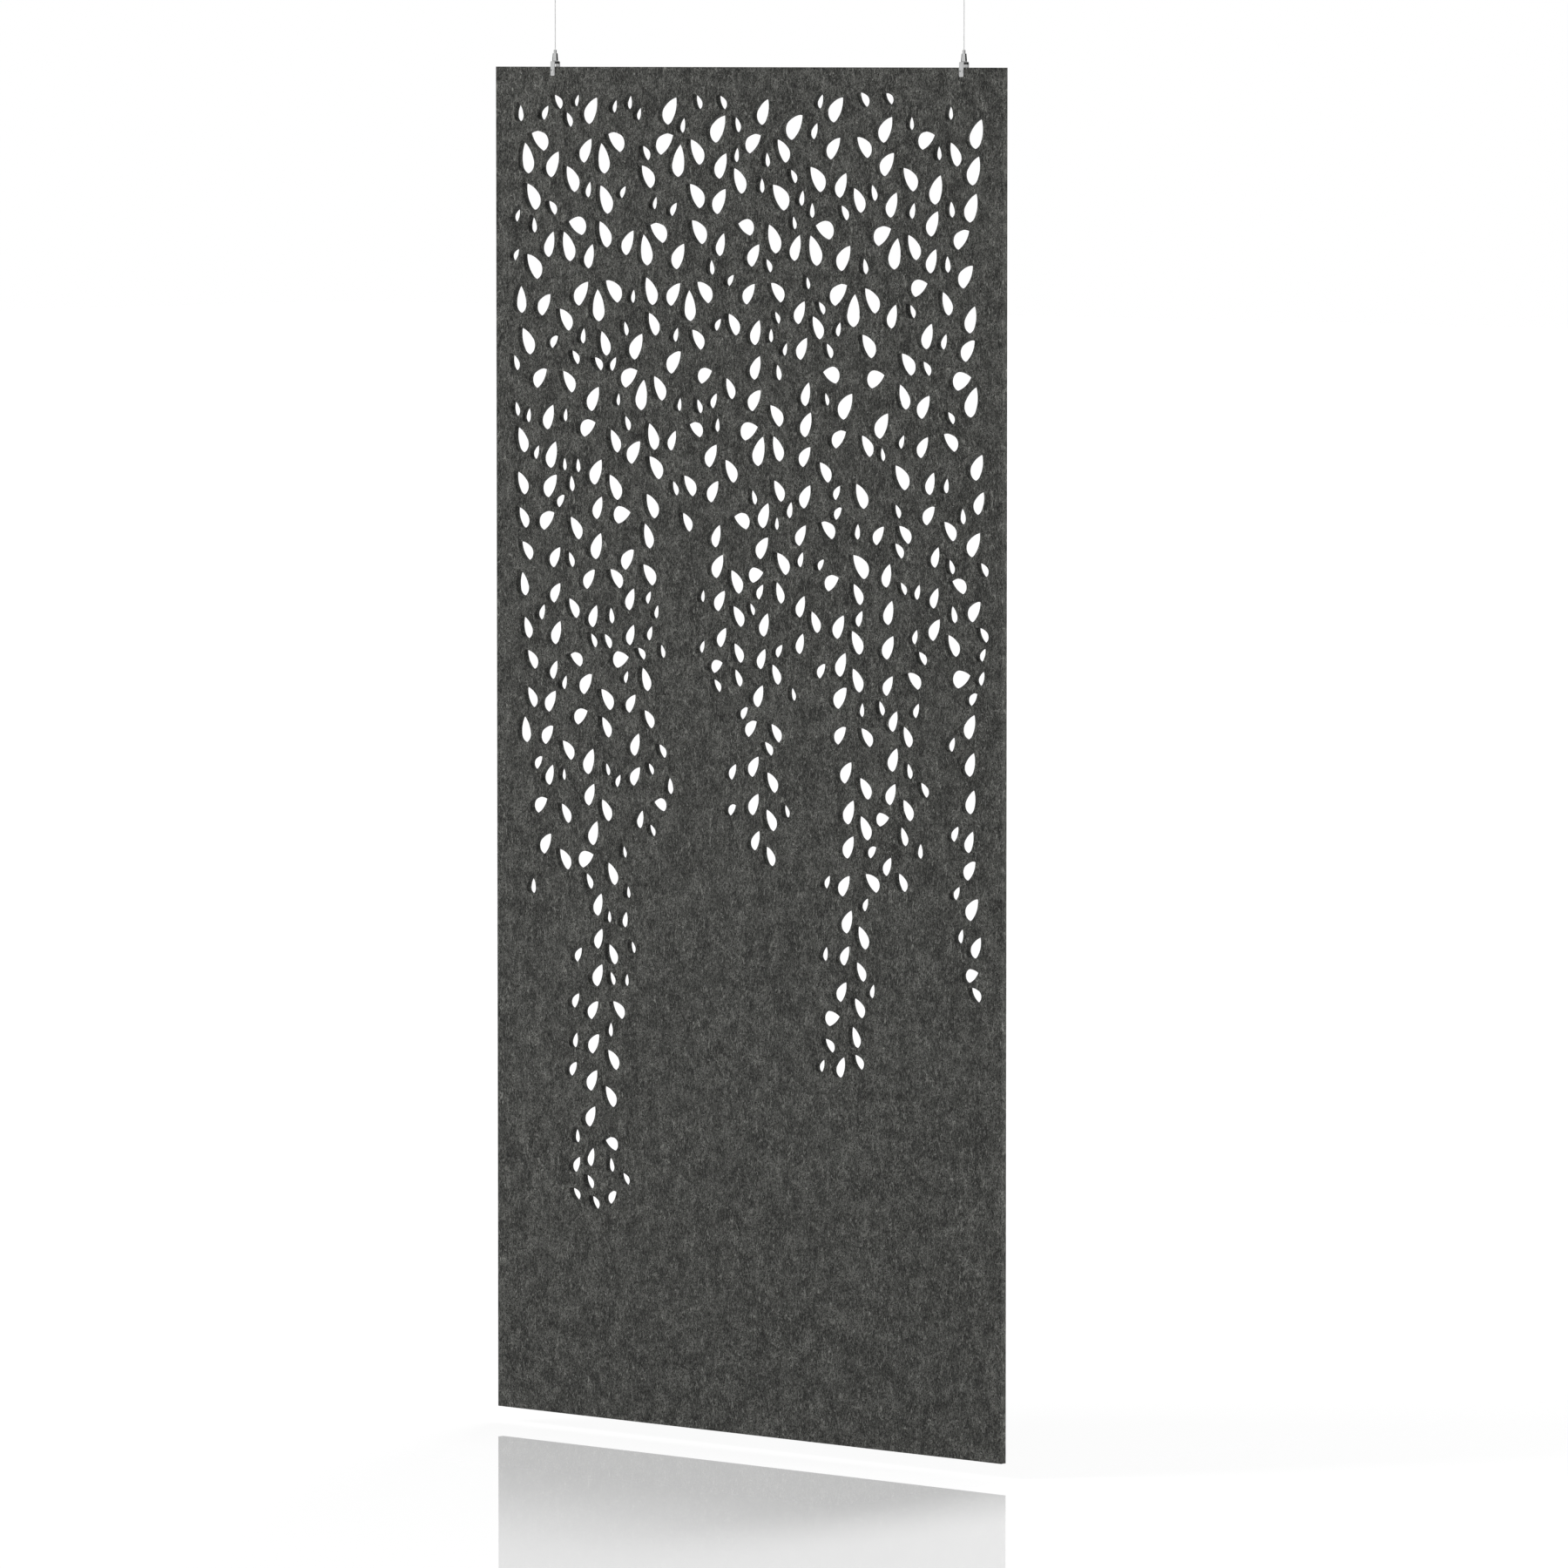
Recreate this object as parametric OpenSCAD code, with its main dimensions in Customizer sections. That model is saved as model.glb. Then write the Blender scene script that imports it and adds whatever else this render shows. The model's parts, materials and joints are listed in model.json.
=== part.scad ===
// Hanging room divider panel: a felt sheet with leaf-shaped openings, hung from
// the ceiling by two wire cables. Each cable ends in a ball inside a ceiling cap,
// and a ball-lock gripper on a bent clip holds the sheet's top edge.
// Origin: on the ceiling, midway between the two ceiling fixings.
// +Z up, +X to the right along the sheet, -Y towards the front. Millimetres.

/* [Sheet] */
// Width of the felt sheet
sheet_w = 1200; // [1000:10:1400]
// Height of the felt sheet
sheet_h = 2400; // [2000:10:2800]
// Thickness of the felt sheet
sheet_t = 12; // [12:0.5:14]

/* [Hanging] */
// Ceiling to the top edge of the sheet
drop = 150; // [145:1:600]
// Left edge of the sheet to the left cable
inset_left = 140; // [80:1:200]
// Right edge of the sheet to the right cable
inset_right = 94; // [80:1:200]
// Diameter of the wire cable
cable_d = 1.5; // [1.2:0.1:1.6]

/* [Openings] */
// Length of the middle leaf of a sprig
sprig_l = 62; // [50:1:66]
// Width of the middle leaf of a sprig
sprig_w = 38; // [26:1:40]
// Length of a paired leaf
pair_l = 57; // [44:1:60]
// Width of a paired leaf
pair_w = 36; // [24:1:38]
// Length of a loose leaf
loose_l = 36; // [28:1:40]
// Width of a loose leaf
loose_w = 23; // [16:1:26]
// Least felt left between two openings
bridge = 6.5; // [6:0.5:12]
// Least felt left at the side edges
side_margin = 30; // [25:1:60]
// Least felt left below the top edge
top_margin = 42; // [40:1:80]

/* [Clip] */
// Width of the bent strap
clip_w = 10; // [9:0.5:14]
// Thickness of the strap
clip_t = 1.2; // [1:0.1:1.5]
// Height of the strap's bend above the sheet
clip_rise = 10; // [10:0.5:12]
// Length of the legs below the sheet's top edge
clip_leg = 16; // [14:0.5:24]
// Sheet's top edge down to the clamp screw
screw_drop = 7; // [6:0.5:9]

/* [Gripper] */
// Height of the tapered housing with its foot
grip_h = 14; // [14:0.5:16]
// Diameter of the housing at the foot
grip_d = 10.5; // [10.5:0.1:12]
// Diameter of the housing at the top
grip_top_d = 8.5; // [8.3:0.1:10]
// Height of the release plunger above the housing
plunger_h = 6; // [5:0.5:8]
// Diameter of the release plunger
plunger_d = 5; // [5:0.1:5.2]

/* [Ceiling fitting] */
// Diameter of the fitting
fitting_d = 18; // [17:0.5:24]
// Height of the fitting
fitting_h = 25; // [25:0.5:32]
// Diameter of the ball on the cable's end
ball_d = 6; // [6:0.1:6.4]
// Radius of the fixing hole, the core of an M6 thread
fixing_r = 2.5; // [2.5:0.1:2.6]
// Depth of the fixing hole
fixing_depth = 8; // [6:0.5:9]

/* [Hidden] */

$fn = 64;
// Overlap of two shapes that are fused, and reach of a cut past a face
eps = 0.01;
past = 1;

// Colours
felt_grey = [0.29, 0.29, 0.28];
nickel = [0.74, 0.74, 0.72];
dark_steel = [0.22, 0.22, 0.23];
wire_steel = [0.62, 0.62, 0.62];

// Sheet and hanging points, from the origin between the ceiling fixings
cable_pitch = sheet_w - inset_left - inset_right;
sheet_x = -cable_pitch / 2 - inset_left;
sheet_top = -drop;
sheet_bottom = sheet_top - sheet_h;

// How far down each garland of leaves hangs, as a share of the sheet's height
GARLANDS = [0.50, 0.60, 0.84, 0.56, 0.34, 0.45, 0.58, 0.42, 0.74, 0.58, 0.43, 0.66];
garland_pitch = sheet_w / len(GARLANDS);
garland_top = 46;
garland_step = 64;
garland_chance = 60;
sway_width = 12;
sway_rate = 0.42;
sway_phase = 77;

// Sprigs: their leaves, the angle between them, how far their tips lie from the
// line, how much an outer leaf is shorter, and how often one takes a pair's place
sprig_leaves = 3;
sprig_angle = 52;
sprig_r = 20;
sprig_taper = 0.12;
sprig_turn = 30;
sprig_every = 4;

// Pairs: how far the leaves part, how far their tips lie from the line, and how
// far the second leaf hangs below the first, as a share of the step
pair_angle = 38;
pair_turn = 14;
pair_r = 8;
pair_lag = 0.4;

// Leaves shrink by this share down a garland, and vary by this share
leaf_shrink = 0.22;
leaf_swing = 0.08;

// Loose leaves: the grid they are scattered on, how far chance moves and turns
// them and makes them smaller, and how near a garland they stay
loose_step = 31;
loose_shift = 12;
loose_turn = 60;
loose_swing = 0.20;
loose_reach = 62;
loose_share = 0.8;
loose_chance = 7;

// Discs that cover a leaf: [share of the way from its tip to its widest place,
// radius as a share of its width]
COVER = [[1, 0.5], [0.8, 0.48], [0.52, 0.41], [0.2, 0.2]];
// Round end of a leaf, a little wider than its two long arcs
end_swell = 1.01;

// Clip and its through screw
clip_top = sheet_top + clip_rise;
leg_y = sheet_t / 2 + clip_t;
clip_bend_r = 3;
leg_corner_r = 2;
screw_z = sheet_top - screw_drop;
screw_r = 1.5;
screw_end_y = 2;
screw_head_r = 3.5;
screw_head_t = 1.8;
screw_rim_t = 0.7;
socket_af = 2;
socket_depth = 1.1;
sleeve_r = 2.5;
sleeve_hole_r = sleeve_r + 0.05;
sleeve_bore_r = screw_r + 0.05;
sleeve_gap = 0.2;
sleeve_end_y = 4;

// Gripper: heights are taken from the clip's top face
stud_r = 2.5;
stud_l = 5.2;
nut_af = 8;
nut_corner_d = nut_af / cos(30);
nut_h = 3.5;
nut_bevel = 0.45;
foot_h = 1;
seam = 0.25;
plug_r = 3.6;
plug_top = 3.2;
pocket_r = 2.6;
pocket_floor = 0.5;
cone_low_z = 3.4;
cone_low_r = 3.42;
cone_high_z = 9.4;
neck_r = plunger_d / 2 + 0.06;
housing_edge = 0.5;
lock_balls = 3;
lock_z = 7;
lock_ball_r = 1.02;
lock_ball_gap = 0.04;
lock_hole_r = lock_ball_r + 0.05;
cage_r = 2.3;
cage_low_z = 5.2;
cage_high_z = 8.6;
plunger_top = grip_h + plunger_h;
plunger_edge = 0.3;
bell_depth = 3;
bell_r = 2;
wire_r = cable_d / 2;
wire_bore_r = wire_r + 0.1;
spring_wire = 0.4;
spring_r = 1.95;
spring_turns = 5;
spring_steps = 16;

// Cable: the centres it turns about, in the gripper's mouth and in the ceiling
// cap, the end of its tail, and the gap on either side of its bend
bend_z = clip_top + plunger_top - 2.2;
seat_z = -19.5;
tail_z = clip_top - 4;
bend_gap = 0.1;
// The free cable's upper and lower end, and the steps between them
CABLE_ROUTE = [seat_z - ball_d / 2 - bend_gap, bend_z + wire_r + bend_gap];
cable_steps = 24;
cable_sides = 8;

// Ceiling fitting
flange_h = 3;
stub_r = 6;
stub_h = 10;
cap_bore_r = stub_r + 0.1;
cap_bore_h = 12;
cap_edge = 1;
throat_r = 1.95;
throat_drop = 2.3;
mouth_r = 3.6;
seat_r = ball_d / 2 + 0.06;

// ---- Openings ------------------------------------------------------------
// An opening is a leaf, [x, z, angle, length, width]: x and z place its pointed
// tip, measured from the sheet's lower left corner, and the angle points from
// the tip to the round end.

// Chance values from -1 to 1, the same on every build
function chance(count, start) = rands(-1, 1, count, start);

function at(x, z, r, a) = [x + r * cos(a), z + r * sin(a)];

function leaf(x, z, r, a, l, w) = concat(at(x, z, r, a), [a, l, w]);

// The discs that cover a leaf: [x, z, radius]
function discs(p) = [
    for (c = COVER)
        concat(at(p[0], p[1], (p[3] - p[4] / 2) * c[0], p[2]), [p[4] * c[1]])
];

function gap(a, b) = norm([a[0] - b[0], a[1] - b[1]]) - a[2] - b[2];

function middle(p) = at(p[0], p[1], p[3] / 2, p[2]);

function far_apart(p, q) =
    norm(middle(p) - middle(q)) > (p[3] + q[3]) / 2 + bridge;

function clear_of(p, q) =
    far_apart(p, q) || min([for (a = discs(p), b = discs(q)) gap(a, b)]) >= bridge;

function on_sheet(p) =
    min([for (d = discs(p)) min(d[0], sheet_w - d[0]) - d[2]]) >= side_margin
    && max([for (d = discs(p)) d[1] + d[2]]) <= sheet_h - top_margin;

function free_of_all(p, kept) = len([for (q = kept) if (!clear_of(p, q)) 1]) == 0;

// Takes the leaves in order, and keeps each one that clears those before it
function settle(leaves, kept = [], i = 0) =
    i == len(leaves) ? kept
    : settle(
        leaves,
        on_sheet(leaves[i]) && free_of_all(leaves[i], kept)
            ? concat(kept, [leaves[i]])
            : kept,
        i + 1
    );

// A garland's line, at a depth below the sheet's top edge
function line_x(i, depth) =
    (i + 0.5) * garland_pitch + sway_width * sin(depth * sway_rate + i * sway_phase);

// Leaves that spread from one point, the middle one the longest
function sprig(x, z, turn, size) = [
    for (k = [0 : sprig_leaves - 1])
        let (
            off = k - (sprig_leaves - 1) / 2,
            share = size * (1 - sprig_taper * abs(off))
        )
        leaf(x, z, sprig_r * size, -90 + turn + off * sprig_angle,
             sprig_l * share, sprig_w * share)
];

// Two leaves that part to the left and the right, the second a little lower
function leaf_pair(x, z, turn, size) = [
    for (k = [0, 1])
        leaf(x, z - k * pair_lag * garland_step, pair_r,
             -90 + (2 * k - 1) * (pair_angle + turn), pair_l * size, pair_w * size)
];

// A garland's sprigs, or the pairs of leaves in between
function garland(i, sprigs) =
    let (
        low = GARLANDS[i] * sheet_h,
        count = floor((low - garland_top) / garland_step),
        r = chance(2 * count, garland_chance + i)
    )
    [
        for (j = [0 : count - 1])
            let (
                depth = garland_top + (j + (i % 2) / 2) * garland_step,
                x = line_x(i, depth),
                size = 1 - leaf_shrink * depth / low + leaf_swing * r[2 * j],
                turn = r[2 * j + 1]
            )
            if (((j + 2 * i) % sprig_every == 1) == sprigs)
                each (sprigs
                    ? sprig(x, sheet_h - depth, sprig_turn * turn, size)
                    : leaf_pair(x, sheet_h - depth, pair_turn * turn, size))
    ];

function beside_garland(x, depth) = len([
    for (i = [0 : len(GARLANDS) - 1])
        if (depth < GARLANDS[i] * sheet_h && abs(x - line_x(i, depth)) < loose_reach) 1
]) > 0;

// Loose leaves on a shaken grid, wherever a garland is near
function loose_leaves() =
    let (
        cols = floor(sheet_w / loose_step),
        rows = floor(sheet_h / loose_step),
        r = chance(5 * cols * rows, loose_chance)
    )
    [
        for (j = [0 : rows - 1], i = [0 : cols - 1])
            let (
                k = 5 * (j * cols + i),
                x = (i + 0.5) * loose_step + loose_shift * r[k],
                depth = top_margin + j * loose_step + loose_shift * r[k + 1],
                size = 1 - loose_swing * (1 + r[k + 2]) / 2
            )
            if (abs(r[k + 3]) < loose_share && beside_garland(x, depth))
                leaf(x, sheet_h - depth, 0, -90 + loose_turn * r[k + 4],
                     loose_l * size, loose_w * size)
    ];

function all_leaves() =
    let (all = [0 : len(GARLANDS) - 1])
    settle([
        for (i = all) each garland(i, true),
        for (i = all) each garland(i, false),
        each loose_leaves()
    ]);

// The part common to two discs: a long shape with a point at either end
module two_arcs(a, side_r, w) {
    intersection() {
        translate([a, w / 2 - side_r])
            circle(side_r);
        translate([a, side_r - w / 2])
            circle(side_r);
    }
}

// A leaf along +X: two long arcs from the tip, closed by a round end
module leaf_shape(l, w) {
    a = l - w / 2;
    intersection() {
        two_arcs(a, (a * a + w * w / 4) / w, w);
        translate([-past, -w])
            square([a + past, 2 * w]);
    }
    translate([a, 0])
        rotate(180)
            circle(w / 2 * end_swell);
}

module felt_outline() {
    difference() {
        square([sheet_w, sheet_h]);
        for (p = all_leaves())
            translate([p[0], p[1]])
                rotate(p[2])
                    leaf_shape(p[3], p[4]);
        for (x = [inset_left, sheet_w - inset_right])
            translate([x, sheet_h - screw_drop])
                circle(sleeve_hole_r);
    }
}

module felt_panel() {
    color(felt_grey)
        translate([sheet_x, sheet_t / 2, sheet_bottom])
            rotate([90, 0, 0])
                linear_extrude(sheet_t)
                    felt_outline();
}

// ---- Placing -------------------------------------------------------------

// side is -1 for the left cable and 1 for the right one
module at_cable(side) {
    translate([side * cable_pitch / 2, 0, 0])
        children();
}

module at_grip() {
    translate([0, 0, clip_top])
        children();
}

// A turned piece from its half outline of [radius, height] points
module turned(points) {
    rotate_extrude()
        polygon(points);
}

// A cylinder along +Y from y0 to y1, at the clamp screw's height
module across(r, y0, y1) {
    translate([0, y0, screw_z])
        rotate([-90, 0, 0])
            cylinder(r = r, h = y1 - y0);
}

// ---- Clip ----------------------------------------------------------------

// Side view of the strap's outer or inner line: [y, z] from the sheet's top edge
module strap_side(half_depth, top, r) {
    translate([-half_depth, -clip_leg])
        square([2 * half_depth, clip_leg + top - r]);
    translate([r - half_depth, 0])
        square([2 * (half_depth - r), top]);
    for (y = [r - half_depth, half_depth - r])
        translate([y, top - r])
            circle(r);
}

module strap() {
    rotate([90, 0, 90])
        translate([0, 0, -clip_w / 2])
            linear_extrude(clip_w)
                difference() {
                    strap_side(leg_y, clip_rise, clip_bend_r);
                    translate([0, -eps])
                        strap_side(sheet_t / 2, clip_rise - clip_t + eps, clip_bend_r - clip_t);
                }
}

// Everything inside the legs' rounded lower corners, seen from the front
module leg_envelope() {
    translate([0, leg_y + past, 0])
        rotate([90, 0, 0])
            linear_extrude(2 * (leg_y + past))
                union() {
                    translate([-clip_w / 2 - past, leg_corner_r - clip_leg])
                        square([clip_w + 2 * past, clip_leg + clip_rise]);
                    translate([leg_corner_r - clip_w / 2, -clip_leg])
                        square([clip_w - 2 * leg_corner_r, clip_leg]);
                    for (x = [-1, 1])
                        translate([x * (clip_w / 2 - leg_corner_r), leg_corner_r - clip_leg])
                            circle(leg_corner_r);
                }
}

module clip() {
    color(nickel)
        difference() {
            translate([0, 0, sheet_top])
                intersection() {
                    strap();
                    leg_envelope();
                }
            across(sleeve_hole_r, -leg_y - past, leg_y + past);
            translate([0, 0, sheet_top])
                cylinder(r = stud_r, h = clip_rise + past);
        }
}

// Low domed head on a straight rim; it grows along +Y from the leg's outer face
module screw_head() {
    dome_h = screw_head_t - screw_rim_t;
    dome_r = (screw_head_r * screw_head_r + dome_h * dome_h) / (2 * dome_h);
    rotate([-90, 0, 0])
        intersection() {
            cylinder(r = screw_head_r, h = screw_head_t);
            translate([0, 0, screw_head_t - dome_r])
                rotate([90, 0, 0])
                    sphere(dome_r);
        }
}

module clamp_screw() {
    color(nickel)
        difference() {
            union() {
                across(screw_r, -leg_y - eps, screw_end_y);
                translate([0, -leg_y, screw_z])
                    rotate([0, 0, 180])
                        screw_head();
            }
            translate([0, -leg_y - screw_head_t - past, screw_z])
                rotate([-90, 0, 0])
                    cylinder(d = socket_af / cos(30), h = socket_depth + past, $fn = 6);
        }
}

module clamp_sleeve() {
    color(nickel)
        difference() {
            union() {
                across(sleeve_r, sleeve_gap - leg_y, leg_y + eps);
                translate([0, leg_y, screw_z])
                    screw_head();
            }
            across(sleeve_bore_r, -leg_y, sleeve_end_y);
        }
}

// ---- Gripper: heights from the clip's top face ---------------------------

module gripper_foot() {
    color(nickel)
        at_grip()
            difference() {
                union() {
                    translate([0, 0, -stud_l])
                        cylinder(r = stud_r, h = stud_l + eps);
                    turned([
                        [0, 0], [grip_d / 2 - seam, 0], [grip_d / 2, seam],
                        [grip_d / 2, foot_h - seam], [grip_d / 2 - seam, foot_h], [0, foot_h]
                    ]);
                    cylinder(r = plug_r, h = plug_top);
                }
                translate([0, 0, -stud_l - past])
                    cylinder(r = wire_bore_r, h = stud_l + pocket_floor + 2 * past);
                translate([0, 0, pocket_floor])
                    cylinder(r = pocket_r, h = plug_top);
            }
}

module lock_nut() {
    color(dark_steel)
        at_grip()
            translate([0, 0, -clip_t - nut_h])
                difference() {
                    intersection() {
                        cylinder(d = nut_corner_d, h = nut_h, $fn = 6);
                        turned([
                            [0, 0], [nut_corner_d / 2 - nut_bevel, 0],
                            [nut_corner_d / 2, nut_bevel], [nut_corner_d / 2, nut_h], [0, nut_h]
                        ]);
                    }
                    translate([0, 0, -past])
                        cylinder(r = stud_r, h = nut_h + 2 * past);
                }
}

module gripper_housing() {
    color(nickel)
        at_grip()
            difference() {
                turned([
                    [0, foot_h], [grip_d / 2 - seam, foot_h], [grip_d / 2, foot_h + seam],
                    [grip_top_d / 2, grip_h - housing_edge],
                    [grip_top_d / 2 - housing_edge, grip_h], [0, grip_h]
                ]);
                turned([
                    [0, 0], [plug_r, 0], [plug_r, plug_top], [cone_low_r, cone_low_z],
                    [neck_r, cone_high_z], [neck_r, grip_h + past], [0, grip_h + past]
                ]);
            }
}

// Turned to each lock ball in turn, at the balls' height
module to_lock_balls() {
    for (k = [0 : lock_balls - 1])
        translate([0, 0, lock_z])
            rotate(90 + k * 360 / lock_balls)
                children();
}

module release_plunger() {
    edge = plunger_edge;
    r = plunger_d / 2;
    color(nickel)
        at_grip()
            difference() {
                turned([
                    [0, cage_low_z], [cage_r, cage_low_z], [cage_r, cage_high_z],
                    [r, cage_high_z + r - cage_r], [r, plunger_top - edge],
                    [r - edge, plunger_top], [0, plunger_top]
                ]);
                cylinder(r = wire_bore_r, h = plunger_top + past);
                translate([0, 0, plunger_top - bell_depth])
                    cylinder(r1 = wire_bore_r, r2 = bell_r, h = bell_depth + eps);
                to_lock_balls()
                    rotate([0, 90, 0])
                        cylinder(r = lock_hole_r, h = plunger_d);
            }
}

module gripper_balls() {
    color(dark_steel)
        at_grip()
            to_lock_balls()
                translate([wire_r + lock_ball_gap + lock_ball_r, 0, 0])
                    sphere(lock_ball_r);
}

// ---- Swept tubes ---------------------------------------------------------

// One closed tube through rings of points; every ring has the same count
module tube_through(rings) {
    n = len(rings[0]);
    last = len(rings) - 1;
    polyhedron(
        points = [for (ring = rings) each ring],
        faces = [
            [for (k = [n - 1 : -1 : 0]) k],
            for (i = [0 : last - 1], k = [0 : n - 1])
                each [
                    [i * n + k, i * n + (k + 1) % n, (i + 1) * n + k],
                    [(i + 1) * n + k, i * n + (k + 1) % n, (i + 1) * n + (k + 1) % n]
                ],
            [for (k = [0 : n - 1]) last * n + k]
        ]
    );
}

// One ring of six points round the spring's wire, at a share t of its turns
function spring_ring(t, low, high) =
    let (a = 360 * spring_turns * t, z = low + (high - low) * t)
    [
        for (k = [0 : 5])
            let (r = spring_r + spring_wire / 2 * cos(60 * k))
            [r * cos(a), r * sin(a), z - spring_wire / 2 * sin(60 * k)]
    ];

module gripper_spring() {
    count = spring_turns * spring_steps;
    low = pocket_floor + spring_wire / 2;
    high = cage_low_z - spring_wire / 2;
    color(dark_steel)
        at_grip()
            tube_through([for (i = [0 : count]) spring_ring(i / count, low, high)]);
}

// ---- Cable ---------------------------------------------------------------

module cable_tail() {
    color(wire_steel)
        translate([0, 0, tail_z])
            cylinder(r = wire_r, h = bend_z - wire_r - bend_gap - tail_z);
}

module cable_bend() {
    color(wire_steel)
        translate([0, 0, bend_z])
            sphere(wire_r);
}

module suspension_cable() {
    rise = CABLE_ROUTE[1] - CABLE_ROUTE[0];
    turn = 360 / cable_sides;
    color(wire_steel)
        tube_through([
            for (i = [0 : cable_steps])
                [
                    for (k = [0 : cable_sides - 1])
                        [
                            wire_r * cos(turn * k), -wire_r * sin(turn * k),
                            CABLE_ROUTE[0] + rise * i / cable_steps
                        ]
                ]
        ]);
}

module cable_ball() {
    color(wire_steel)
        translate([0, 0, seat_z])
            sphere(d = ball_d);
}

// ---- Ceiling fitting -----------------------------------------------------

module ceiling_base() {
    r = fitting_d / 2;
    low = -flange_h - stub_h;
    color(nickel)
        difference() {
            turned([
                [0, 0], [r, 0], [r, seam - flange_h], [r - seam, -flange_h],
                [stub_r, -flange_h], [stub_r, low + seam], [stub_r - seam, low], [0, low]
            ]);
            translate([0, 0, -fixing_depth])
                cylinder(r = fixing_r, h = fixing_depth + past);
        }
}

module ceiling_cap() {
    r = fitting_d / 2;
    color(nickel)
        difference() {
            turned([
                [0, -fitting_h], [r - cap_edge, -fitting_h], [r, cap_edge - fitting_h],
                [r, -flange_h - seam], [r - seam, -flange_h], [0, -flange_h]
            ]);
            translate([0, 0, -flange_h - cap_bore_h])
                cylinder(r = cap_bore_r, h = cap_bore_h + past);
            translate([0, 0, seat_z])
                cylinder(r = seat_r, h = -flange_h - seat_z);
            translate([0, 0, seat_z])
                sphere(seat_r);
            translate([0, 0, seat_z - ball_d])
                cylinder(r = throat_r, h = ball_d);
            translate([0, 0, -fitting_h - eps])
                cylinder(r1 = mouth_r, r2 = throat_r, h = fitting_h + seat_z - throat_drop);
        }
}

felt_panel();
at_cable(-1) clip();  // clip_left
at_cable(1) clip();  // clip_right
at_cable(-1) clamp_screw();  // clamp_screw_left
at_cable(1) clamp_screw();  // clamp_screw_right
at_cable(-1) clamp_sleeve();  // clamp_sleeve_left
at_cable(1) clamp_sleeve();  // clamp_sleeve_right
at_cable(-1) gripper_housing();  // gripper_housing_left
at_cable(1) gripper_housing();  // gripper_housing_right
at_cable(-1) gripper_foot();  // gripper_foot_left
at_cable(1) gripper_foot();  // gripper_foot_right
at_cable(-1) lock_nut();  // lock_nut_left
at_cable(1) lock_nut();  // lock_nut_right
at_cable(-1) release_plunger();  // release_plunger_left
at_cable(1) release_plunger();  // release_plunger_right
at_cable(-1) gripper_spring();  // gripper_spring_left
at_cable(1) gripper_spring();  // gripper_spring_right
at_cable(-1) gripper_balls();  // gripper_balls_left
at_cable(1) gripper_balls();  // gripper_balls_right
at_cable(-1) cable_tail();  // cable_tail_left
at_cable(1) cable_tail();  // cable_tail_right
at_cable(-1) cable_bend();  // cable_bend_left
at_cable(1) cable_bend();  // cable_bend_right
at_cable(-1) suspension_cable();  // suspension_cable_left
at_cable(1) suspension_cable();  // suspension_cable_right
at_cable(-1) cable_ball();  // cable_ball_left
at_cable(1) cable_ball();  // cable_ball_right
at_cable(-1) ceiling_base();  // ceiling_base_left
at_cable(1) ceiling_base();  // ceiling_base_right
at_cable(-1) ceiling_cap();  // ceiling_cap_left
at_cable(1) ceiling_cap();  // ceiling_cap_right
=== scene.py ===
"""Looks of the hanging room divider panel: heathered felt, satin nickel hangers and wire rope."""
import json
import math

import bmesh
import bpy
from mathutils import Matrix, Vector


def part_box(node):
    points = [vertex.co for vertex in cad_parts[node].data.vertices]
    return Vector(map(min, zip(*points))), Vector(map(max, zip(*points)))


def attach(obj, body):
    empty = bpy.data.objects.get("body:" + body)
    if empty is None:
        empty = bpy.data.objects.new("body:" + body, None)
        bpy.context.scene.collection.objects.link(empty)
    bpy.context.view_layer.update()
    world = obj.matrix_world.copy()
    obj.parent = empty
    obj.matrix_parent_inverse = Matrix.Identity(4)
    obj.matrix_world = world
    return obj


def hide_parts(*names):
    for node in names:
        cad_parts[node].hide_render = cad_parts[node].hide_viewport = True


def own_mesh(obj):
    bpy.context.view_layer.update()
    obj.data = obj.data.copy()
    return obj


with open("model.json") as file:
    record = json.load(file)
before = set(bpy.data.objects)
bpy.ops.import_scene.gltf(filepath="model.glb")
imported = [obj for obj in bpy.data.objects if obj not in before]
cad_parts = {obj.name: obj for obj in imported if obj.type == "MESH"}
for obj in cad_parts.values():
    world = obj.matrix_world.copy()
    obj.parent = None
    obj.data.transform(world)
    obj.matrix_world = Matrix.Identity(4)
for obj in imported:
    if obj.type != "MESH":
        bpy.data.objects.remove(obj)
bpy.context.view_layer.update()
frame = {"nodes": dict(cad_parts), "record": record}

MM = 0.001
SIDES = ("left", "right")


# ---- Camera ------------------------------------------------------------------

CAMERA_AT = (12.921, -14.110, -0.104)
CAMERA_YAW = 42.336
CAMERA_PITCH = -3.883
CAMERA_LENS = 251.43
CAMERA_REACH = 200


def add_camera():
    """The photograph's long lens, level with the sheet's top edge and to its right."""
    data = bpy.data.cameras.new("camera")
    data.lens = CAMERA_LENS
    data.clip_end = CAMERA_REACH
    camera = bpy.data.objects.new("camera", data)
    camera.location = CAMERA_AT
    camera.rotation_euler = (math.radians(90 + CAMERA_PITCH), 0, math.radians(CAMERA_YAW))
    bpy.context.collection.objects.link(camera)
    bpy.context.scene.camera = camera


add_camera()


# ---- Meshes ------------------------------------------------------------------

def mesh_object(name, points, faces, smooth=True):
    """A new object from points and faces, with its normals pointing out."""
    mesh = bpy.data.meshes.new(name)
    mesh.from_pydata(points, [], faces)
    form = bmesh.new()
    form.from_mesh(mesh)
    bmesh.ops.recalc_face_normals(form, faces=form.faces)
    for face in form.faces:
        face.smooth = smooth
    form.to_mesh(mesh)
    form.free()
    made = bpy.data.objects.new(name, mesh)
    bpy.context.collection.objects.link(made)
    return made


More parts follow.
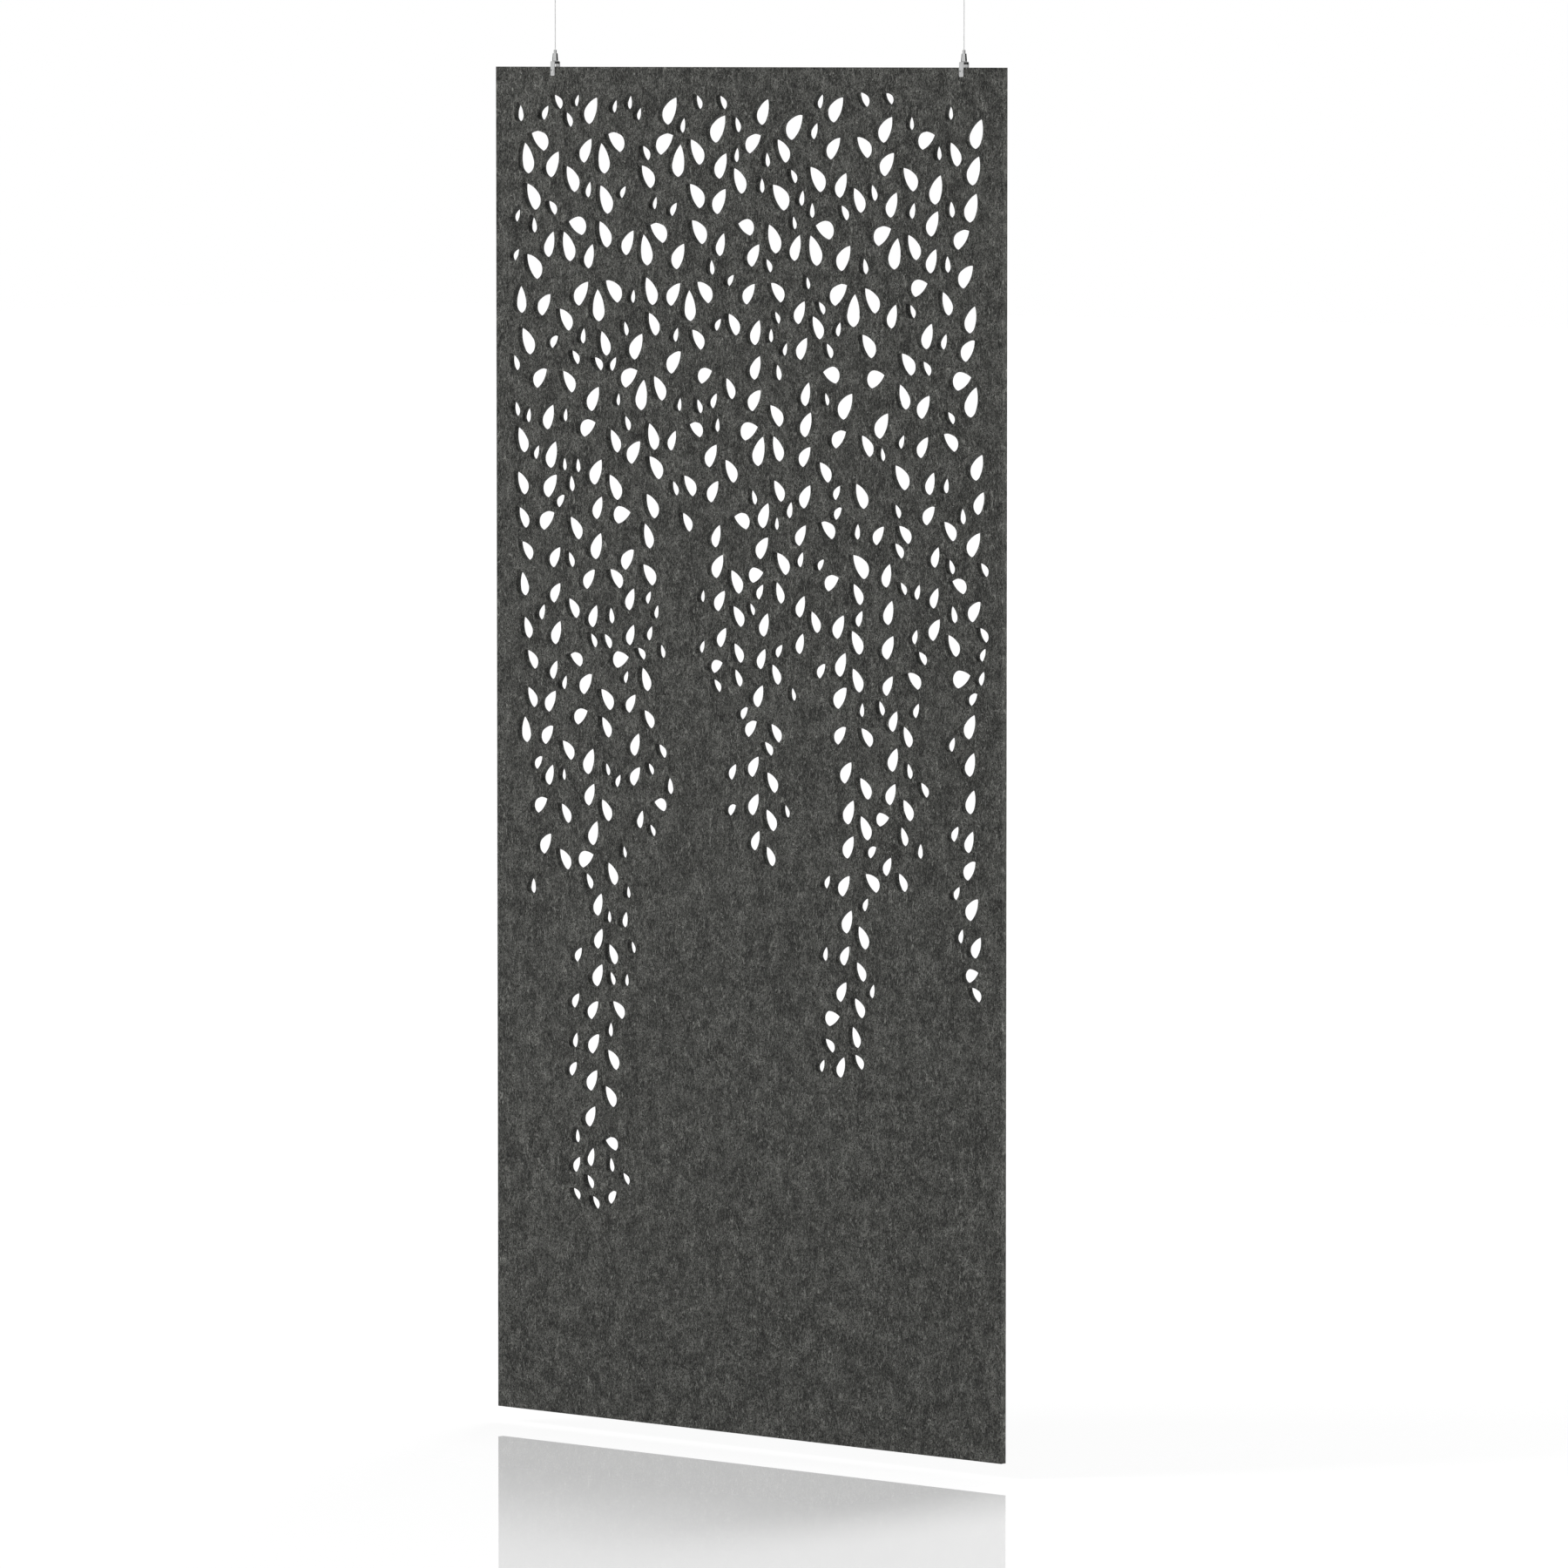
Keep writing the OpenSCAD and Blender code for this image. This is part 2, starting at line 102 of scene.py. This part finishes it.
def add_tube(rings, points, faces):
    """Adds one closed tube through rings of points, which all have the same count."""
    first = len(points)
    count = len(rings[0])
    for ring in rings:
        points.extend(ring)
    for i in range(len(rings) - 1):
        for k in range(count):
            a = first + i * count + k
            b = first + i * count + (k + 1) % count
            faces.append((a, b, b + count, a + count))
    faces.append(tuple(range(first + count - 1, first - 1, -1)))
    faces.append(tuple(range(len(points) - count, len(points))))


# ---- Wire rope ---------------------------------------------------------------
# Six strands laid round a seventh, and each strand is six wires round a core.

ROPE_R = 0.75 * MM
ROPE_LAY = 9.5 * MM
STRAND_LAY = 3.4 * MM
STRAND_R = ROPE_R / 3
STRAND_STEP = 0.32 * MM
STRAND_POINTS = 12
WIRE_GROOVE = 0.78
STRANDS = 6
LEAST_STEPS = 6
# The share of its thickness that a rounded length keeps at its very ends
BLUNT_END = math.sqrt(0.05)


def strand_ring(x, z, turn, lay_r, share):
    """One strand's section at height z: wires stand out, grooves lie between them."""
    angle = math.tau * z / ROPE_LAY + turn
    out = Vector((math.cos(angle), math.sin(angle), 0))
    slope = math.tau * lay_r / ROPE_LAY
    along = Vector((-out.y * slope, out.x * slope, 1)).normalized()
    across = along.cross(out)
    centre = Vector((x, 0, z)) + out * lay_r * share
    ring = []
    for k in range(STRAND_POINTS):
        a = math.tau * (k / STRAND_POINTS - z / STRAND_LAY)
        r = STRAND_R * share * (WIRE_GROOVE if k % 2 else 1)
        ring.append(centre + (out * math.cos(a) + across * math.sin(a)) * r)
    return ring


def wire_rope(name, x, low, high, share=lambda t: 1.0):
    """A straight length of rope; share(t) is its thickness along it."""
    count = max(LEAST_STEPS, round((high - low) / STRAND_STEP))
    points, faces = [], []
    for strand in range(STRANDS + 1):
        lay_r = 0 if strand == STRANDS else ROPE_R - STRAND_R
        turn = math.tau * strand / STRANDS
        add_tube(
            [
                strand_ring(x, low + (high - low) * i / count, turn, lay_r, share(i / count))
                for i in range(count + 1)
            ],
            points, faces,
        )
    return mesh_object(name, points, faces)


def rounded_off(t):
    """A length that closes to a dome at both ends."""
    return max(BLUNT_END, math.sqrt(1 - (2 * t - 1) ** 2))


def add_cables():
    """Each cable as rope: the free stretch, its bend in the gripper's mouth, and its tail."""
    made = []
    for side in SIDES:
        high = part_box(f"suspension_cable_{side}")[1]
        bend_low, bend_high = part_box(f"cable_bend_{side}")
        tail_low, tail_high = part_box(f"cable_tail_{side}")
        middle = (bend_low + bend_high) / 2
        x = middle.x

        cable_body = f"cable_{side}"
        rope = wire_rope(f"wire_rope_{side}", x, middle.z, high.z)
        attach(rope, cable_body)
        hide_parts(f"suspension_cable_{side}")

        bend = wire_rope(f"rope_bend_{side}", x, bend_low.z, bend_high.z, rounded_off)
        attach(bend, "bend_left" if side == "left" else cable_body)
        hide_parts(f"cable_bend_{side}")

        tail = wire_rope(f"rope_tail_{side}", x, tail_low.z, tail_high.z)
        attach(tail, "panel")
        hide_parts(f"cable_tail_{side}")
        made += [rope, bend, tail]
    return made


ropes = add_cables()


# ---- Springs -----------------------------------------------------------------
# One in each gripper, under the cage of its plunger, which squashes it when pressed.

SPRING_WIRE_R = 0.19 * MM
SPRING_COIL_R = 1.95 * MM
SPRING_TURNS = 5
SPRING_STEPS = 24
SPRING_POINTS = 10


def spring_ring(x, low, high, share):
    """The wire's section at a share of the spring's turns."""
    turn = math.tau * SPRING_TURNS * share
    out = Vector((math.cos(turn), math.sin(turn), 0))
    up = Vector((0, 0, 1))
    centre = Vector((x, 0, low + (high - low) * share)) + out * SPRING_COIL_R
    angles = (math.tau * k / SPRING_POINTS for k in range(SPRING_POINTS))
    return [centre + (out * math.cos(a) + up * math.sin(a)) * SPRING_WIRE_R for a in angles]


def add_springs():
    """Each spring as a coil of round wire."""
    made = []
    for side in SIDES:
        low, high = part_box(f"gripper_spring_{side}")
        x = (low.x + high.x) / 2
        count = SPRING_TURNS * SPRING_STEPS
        ends = low.z + SPRING_WIRE_R, high.z - SPRING_WIRE_R
        points, faces = [], []
        add_tube([spring_ring(x, *ends, i / count) for i in range(count + 1)], points, faces)
        spring = mesh_object(f"coil_{side}", points, faces)
        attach(spring, "panel")
        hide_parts(f"gripper_spring_{side}")
        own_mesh(spring)
        made.append(spring)
    return made


springs = add_springs()


# ---- Node trees --------------------------------------------------------------

def new_material(name):
    """A material and its emptied tree."""
    material = bpy.data.materials.new(name)
    material.use_nodes = True
    tree = material.node_tree
    tree.nodes.clear()
    return material, tree


def add(tree, kind, inputs, **settings):
    """A new node; inputs maps a socket to a value or to another node's output."""
    made = tree.nodes.new(kind)
    for key, value in settings.items():
        setattr(made, key, value)
    for key, value in inputs.items():
        if isinstance(value, bpy.types.NodeSocket):
            tree.links.new(value, made.inputs[key])
        else:
            made.inputs[key].default_value = value
    return made


def calculated(tree, operation, a, b=0.0):
    return add(tree, "ShaderNodeMath", {0: a, 1: b}, operation=operation).outputs[0]


def remapped(tree, value, low, high, to_low=0.0, to_high=1.0, **settings):
    """value taken from low..high to to_low..to_high, and held at the ends."""
    inputs = {0: value, 1: low, 2: high, 3: to_low, 4: to_high}
    return add(tree, "ShaderNodeMapRange", inputs, **settings).outputs[0]


def object_coords(tree):
    return add(tree, "ShaderNodeTexCoord", {}).outputs["Object"]


def stretched(tree, coords, scale):
    return add(tree, "ShaderNodeMapping", {"Vector": coords, "Scale": scale}).outputs[0]


def noise(tree, coords, size, detail=2.0, roughness=0.5, distortion=0.0):
    """Noise whose patches are about size metres across."""
    inputs = {
        "Vector": coords, "Scale": 1 / size, "Detail": detail,
        "Roughness": roughness, "Distortion": distortion,
    }
    return add(tree, "ShaderNodeTexNoise", inputs).outputs["Fac"]


def mixed(tree, share, a, b):
    """The colour between a and b at share."""
    made = add(tree, "ShaderNodeMix", {0: share}, data_type="RGBA")
    for place, value in ((6, a), (7, b)):
        if isinstance(value, bpy.types.NodeSocket):
            tree.links.new(value, made.inputs[place])
        else:
            made.inputs[place].default_value = (*value, 1.0)
    return made.outputs[2]


def summed(tree, start, parts):
    """start, plus each part's swing about its middle value by its weight."""
    total = start
    for part, weight in parts:
        swing = calculated(tree, "MULTIPLY", calculated(tree, "SUBTRACT", part, 0.5), weight)
        total = calculated(tree, "ADD", swing, total)
    return total


def bumped(tree, height, depth):
    """A normal from a height field; depth is the height's full swing in metres."""
    return add(
        tree, "ShaderNodeBump", {"Height": height, "Strength": 1.0, "Distance": depth}
    ).outputs[0]


def shade(tree, inputs):
    """Gives the tree its shader and its output."""
    shader = add(tree, "ShaderNodeBsdfPrincipled", inputs)
    add(tree, "ShaderNodeOutputMaterial", {"Surface": shader.outputs[0]})


# ---- Felt --------------------------------------------------------------------

FELT_DARK = (0.0080, 0.0081, 0.0074)
FELT_LIGHT = (0.1012, 0.1020, 0.0925)
FELT_HAIR = (0.3070, 0.3087, 0.2860)

# Each mark's stretch and size, and the detail, roughness and distortion of its noise
MARKS = {
    "grain": ((1, 1, 0.5), 1.7 * MM, 1.0, 0.5, 0.4),
    "tufts": ((1, 1, 0.5), 9 * MM, 2.0, 0.6, 1.4),
    "clouds": ((1, 1, 1), 34 * MM, 3.0, 0.55),
    "streaks": ((1, 1, 0.09), 26 * MM),
    "layers": ((0.22, 1, 0.22), 0.9 * MM, 3.0, 0.6),
}
# What each mark weighs in the tone, from dark to light, and in the height
TONE_START = -0.55
TONE = {"grain": 7.0, "fibres": 4.4, "tufts": 0.8, "clouds": 1.6, "streaks": 0.7}
HEIGHT = {"grain": 1.0, "fibres": 0.5, "hairs": 0.6, "layers": 0.3}
NAP = 0.35 * MM
# A face is cut where its normal's share along Y is under the first number, and is the sheet's
# front or back over the second. The layers weigh this much in the tone of a cut one.
CUT_FACING = (0.4, 0.6)
CUT_LAYERS = 1.6

# Crossing fine fibres: their size, wander and thinness, how many times they are drawn out, and
# how the light and the dark ones lean from the upright in degrees
FIBRE_LINE = (0.8 * MM, 0.4, 0.06)
FIBRE_RUN = 9
LIGHT_LEAN = (4, -33, 42)
DARK_LEAN = (-12, 24, 68)

# Pale hairs on top, which are down, curls and wisps: their stretch, then their size, wander
# and thinness, the mark that gathers them, and how its values become the share that shows
HAIRS = (
    ((1, 1, 0.45), (2.6 * MM, 1.2, 0.06), "grain", (0.40, 0.62, 0.05, 0.40)),
    ((1, 1, 0.36), (5.5 * MM, 1.5, 0.045), "tufts", (0.42, 0.62, 0, 1)),
    ((0.8, 1, 1), (9 * MM, 2.4, 0.03), "clouds", (0.42, 0.62, 0, 0.95)),
)


def hairs(tree, coords, size, wander, thin):
    """Thin curling lines, where a wandering noise crosses its middle value."""
    field = noise(tree, coords, size, 1.0, 0.5, wander)
    off = calculated(tree, "ABSOLUTE", calculated(tree, "SUBTRACT", field, 0.5))
    return remapped(tree, off, 0.0, thin, 1.0, 0.0)


def leaning(tree, coords, slants):
    """Crossing fine fibres, which lean from the upright by slants in degrees."""
    shown = 0.0
    for slant in slants:
        leant = add(
            tree, "ShaderNodeMapping",
            {
                "Vector": coords, "Rotation": (0, math.radians(slant), 0),
                "Scale": (1, 1, FIBRE_RUN),
            },
            vector_type="TEXTURE",
        ).outputs[0]
        shown = calculated(tree, "MAXIMUM", hairs(tree, leant, *FIBRE_LINE), shown)
    return shown


def felt():
    """Charcoal polyester felt: dark and pale fibres, most of them running up the sheet."""
    material, tree = new_material("felt")
    places = add(tree, "ShaderNodeTexCoord", {}).outputs
    coords = places["Object"]

    marks = {
        name: noise(tree, stretched(tree, coords, scale), *form)
        for name, (scale, *form) in MARKS.items()
    }
    light = leaning(tree, coords, LIGHT_LEAN)
    dark = leaning(tree, coords, DARK_LEAN)
    marks["fibres"] = summed(tree, 0.5, ((light, 0.5), (dark, -0.5)))

    # A cut edge shows the sheet's layers too, which follow its two faces
    normal = add(tree, "ShaderNodeSeparateXYZ", {0: places["Normal"]}).outputs["Y"]
    is_cut = remapped(tree, calculated(tree, "ABSOLUTE", normal), *CUT_FACING, 1, 0)
    tones = [(marks[name], weight) for name, weight in TONE.items()]
    tones.append((marks["layers"], calculated(tree, "MULTIPLY", is_cut, CUT_LAYERS)))
    tone = summed(tree, TONE_START, tones)

    pale = 0.0
    for scale, line, gatherer, gathered in HAIRS:
        strands = hairs(tree, stretched(tree, coords, scale), *line)
        share = remapped(tree, marks[gatherer], *gathered)
        shown = calculated(tree, "MULTIPLY", strands, share)
        pale = calculated(tree, "MAXIMUM", shown, pale)
    marks["hairs"] = pale
    height = summed(tree, 0.5, [(marks[name], weight) for name, weight in HEIGHT.items()])
    shade(tree, {
        "Base Color": mixed(tree, pale, mixed(tree, tone, FELT_DARK, FELT_LIGHT), FELT_HAIR),
        "Roughness": 0.93,
        "Specular IOR Level": 0.25,
        "Sheen Weight": 0.12,
        "Sheen Roughness": 0.5,
        "Normal": bumped(tree, height, NAP),
    })
    return material


# ---- Metal -------------------------------------------------------------------

NICKEL = (0.555, 0.560, 0.558)
NICKEL_WORN = (0.487, 0.491, 0.489)
BLACKENED = (0.030, 0.030, 0.032)
BLACKENED_WORN = (0.060, 0.059, 0.058)
WIRE = (0.835, 0.840, 0.838)
WIRE_WORN = (0.705, 0.710, 0.708)

# How fine marks are stretched: round a turned piece, up a brushed or drawn one, or not at all
RINGS = (0.02, 0.02, 1)
UPRIGHT = (1, 1, 0.04)
EVEN = (1, 1, 1)
# How far the marks take the roughness down and up, and between which of their values
SMOOTHER = 0.06
ROUGHER = 0.08
MARKED = (0.3, 0.7)
# The size of the haze of wear, and between which of its values the colour changes
HAZE = 4 * MM
HAZED = (0.35, 0.7)


def metal(name, colour, worn, roughness, grain, depth):
    """Satin metal; grain is how its fine marks are stretched and how big they are."""
    material, tree = new_material(name)
    coords = object_coords(tree)
    marks = noise(tree, stretched(tree, coords, grain[0]), grain[1], 3.0, 0.6)
    haze = remapped(tree, noise(tree, coords, HAZE), *HAZED)
    ends = roughness - SMOOTHER, roughness + ROUGHER
    shade(tree, {
        "Base Color": mixed(tree, haze, colour, worn),
        "Metallic": 1.0,
        "Roughness": remapped(tree, marks, *MARKED, *ends),
        "Normal": bumped(tree, marks, depth),
    })
    return material


turned = metal("turned_nickel", NICKEL, NICKEL_WORN, 0.17, (RINGS, 0.16 * MM), 0.004 * MM)
brushed = metal("brushed_nickel", NICKEL, NICKEL_WORN, 0.32, (UPRIGHT, 0.14 * MM), 0.006 * MM)
blackened = metal("blackened_steel", BLACKENED, BLACKENED_WORN, 0.38, (EVEN, 0.3 * MM), 0.004 * MM)
wire = metal("wire_steel", WIRE, WIRE_WORN, 0.45, (UPRIGHT, 0.1 * MM), 0.003 * MM)


# ---- Clips and finishes ------------------------------------------------------

CLIP_EDGE = 0.4 * MM
CLIP_EDGE_STEPS = 3
SHARP_ANGLE = 50


def soften_clips():
    """Rounds the bent clips' sharp edges by a small bevel."""
    for side in SIDES:
        bevel = frame["nodes"][f"clip_{side}"].modifiers.new("soft_edges", "BEVEL")
        bevel.width = CLIP_EDGE
        bevel.segments = CLIP_EDGE_STEPS
        bevel.limit_method = "ANGLE"
        bevel.angle_limit = math.radians(SHARP_ANGLE)
        bevel.harden_normals = True


def finish_pieces():
    """Every piece gets the material of its slot; the bent clips are brushed, not turned."""
    by_slot = {"felt": felt(), "nickel": turned, "dark_steel": blackened, "wire_rope": wire}
    for part in frame["record"]["subparts"]:
        name = part["node"]
        material = brushed if name.startswith("clip_") else by_slot[part["material_slot"]]
        mesh = frame["nodes"][name].data
        mesh.materials.clear()
        mesh.materials.append(material)
    for pieces, material in ((ropes, wire), (springs, blackened)):
        for piece in pieces:
            piece.data.materials.append(material)


soften_clips()
finish_pieces()


# ---- Stage -------------------------------------------------------------------

FILL_LIGHT = 0.26
# Dark flags round the hangers: azimuth and half width in degrees
FLAGS = ((149, 58), (-97, 33))
FLAG_SOFT = 5
FLAG_DARK = 0.02
# Name, azimuth and elevation in degrees, distance and size in metres, and watts of each lamp
LAMPS = (
    ("key", -38, 32, 9.0, 4.0, 560),
    ("side", 96, 12, 6.0, 2.0, 230),
    ("back", 200, 30, 7.0, 3.0, 220),
)

# The floor's depth under the sheet and half its width, in metres
FLOOR_GAP = 27.7 * MM
FLOOR_HALF = 60
# Its white where it is seen, and for the light that it throws back
FLOOR_WHITE = 0.30
FLOOR_PLAIN = 0.80
# The floor's own light beside the sheet and far away from it, and where it changes
GLOW_NEAR = 0.74
GLOW_FAR = 1.0
GLOW_RANGE = (2.5, 7.0)
# The mirror's share, and the distances over which it fades, to the right and to the front
MIRROR_LEAST = 0.24
MIRROR_MOST = 0.48
MIRROR_RIGHT = (0.55, 1.0)
MIRROR_FRONT = (0.35, 1.35)


def seen_rays(tree):
    """1 for the rays that see the background: camera, mirror and glass rays."""
    path = add(tree, "ShaderNodeLightPath", {}).outputs
    seen = calculated(tree, "MAXIMUM", path["Is Camera Ray"], path["Is Glossy Ray"])
    return calculated(tree, "MAXIMUM", seen, path["Is Transmission Ray"])


def flagged(tree):
    """How much of the studio's white is hidden by dark flags, by the direction it is seen in."""
    direction = add(tree, "ShaderNodeTexCoord", {}).outputs["Generated"]
    hidden = 0.0
    for azimuth, half in FLAGS:
        a = math.radians(azimuth)
        axis = (math.sin(a), -math.cos(a), 0)
        near = add(
            tree, "ShaderNodeVectorMath", {0: direction, 1: axis}, operation="DOT_PRODUCT"
        ).outputs["Value"]
        outer, inner = (math.cos(math.radians(half + soft)) for soft in (FLAG_SOFT, -FLAG_SOFT))
        hidden = calculated(tree, "MAXIMUM", remapped(tree, near, outer, inner), hidden)
    return hidden


def add_world():
    """White where it is seen, with dark flags that only metals mirror; even light elsewhere."""
    world = bpy.data.worlds.new("studio")
    world.use_nodes = True
    tree = world.node_tree
    tree.nodes.clear()
    strength = remapped(tree, seen_rays(tree), 0, 1, FILL_LIGHT, 1.0)
    path = add(tree, "ShaderNodeLightPath", {}).outputs
    # The floor's sharp mirror leaves the flags out
    blurred = calculated(tree, "SUBTRACT", path["Is Glossy Ray"], path["Is Singular Ray"])
    hidden = calculated(tree, "MULTIPLY", flagged(tree), blurred)
    left = remapped(tree, hidden, 0, 1, 1, FLAG_DARK)
    strength = calculated(tree, "MULTIPLY", strength, left)
    light = add(tree, "ShaderNodeBackground", {"Color": (1, 1, 1, 1), "Strength": strength})
    add(tree, "ShaderNodeOutputWorld", {"Surface": light.outputs[0]})
    bpy.context.scene.world = world


def floor_material():
    """Pale floor that keeps the sheet's shadow, and mirrors it faintly close to its foot."""
    material, tree = new_material("floor")
    coords = object_coords(tree)
    places = add(tree, "ShaderNodeSeparateXYZ", {0: coords}).outputs
    front = calculated(tree, "MULTIPLY", places["Y"], -1)
    near = calculated(
        tree, "MULTIPLY",
        remapped(tree, places["X"], *MIRROR_RIGHT, 1, 0, interpolation_type="SMOOTHSTEP"),
        remapped(tree, front, *MIRROR_FRONT, 1, 0, interpolation_type="SMOOTHSTEP"),
    )
    share = remapped(tree, near, 0, 1, MIRROR_LEAST, MIRROR_MOST)
    away = add(tree, "ShaderNodeVectorMath", {0: coords}, operation="LENGTH").outputs["Value"]
    glow = remapped(tree, away, *GLOW_RANGE, GLOW_NEAR, GLOW_FAR)

    pale = add(tree, "ShaderNodeBsdfDiffuse", {"Color": (*[FLOOR_WHITE] * 3, 1)})
    own = add(tree, "ShaderNodeEmission", {"Strength": glow})
    lit = add(tree, "ShaderNodeAddShader", {0: pale.outputs[0], 1: own.outputs[0]})
    mirror = add(tree, "ShaderNodeBsdfGlossy", {"Color": (1, 1, 1, 1), "Roughness": 0.0})
    shown = add(tree, "ShaderNodeMixShader", {0: share, 1: lit.outputs[0], 2: mirror.outputs[0]})
    plain = add(tree, "ShaderNodeBsdfDiffuse", {"Color": (*[FLOOR_PLAIN] * 3, 1)})
    surface = add(
        tree, "ShaderNodeMixShader",
        {0: seen_rays(tree), 1: plain.outputs[0], 2: shown.outputs[0]},
    )
    add(tree, "ShaderNodeOutputMaterial", {"Surface": surface.outputs[0]})
    return material


def add_floor():
    """A square floor just under the sheet; its origin lies below the sheet's middle."""
    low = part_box("felt_panel")[0].z - FLOOR_GAP
    square = ((-1, -1), (1, -1), (1, 1), (-1, 1))
    corners = [(x * FLOOR_HALF, y * FLOOR_HALF, 0) for x, y in square]
    floor = mesh_object("floor", corners, [(0, 1, 2, 3)], smooth=False)
    floor.location.z = low
    floor.data.materials.append(floor_material())


def add_lamp(name, azimuth, elevation, distance, size, power):
    """A soft square lamp aimed at the sheet's middle; azimuth 0 is in front, 90 to its right."""
    low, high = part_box("felt_panel")
    middle = (low + high) / 2
    a, e = math.radians(azimuth), math.radians(elevation)
    back = Vector((math.sin(a) * math.cos(e), -math.cos(a) * math.cos(e), math.sin(e)))
    data = bpy.data.lights.new(name, "AREA")
    data.size = size
    data.energy = power
    lamp = bpy.data.objects.new(name, data)
    lamp.location = middle + back * distance
    lamp.rotation_mode = "QUATERNION"
    lamp.rotation_quaternion = (-back).to_track_quat("-Z", "Y")
    lamp.visible_glossy = False
    bpy.context.collection.objects.link(lamp)


add_world()
add_floor()
for lamp in LAMPS:
    add_lamp(*lamp)

bpy.context.scene.view_settings.view_transform = "Standard"
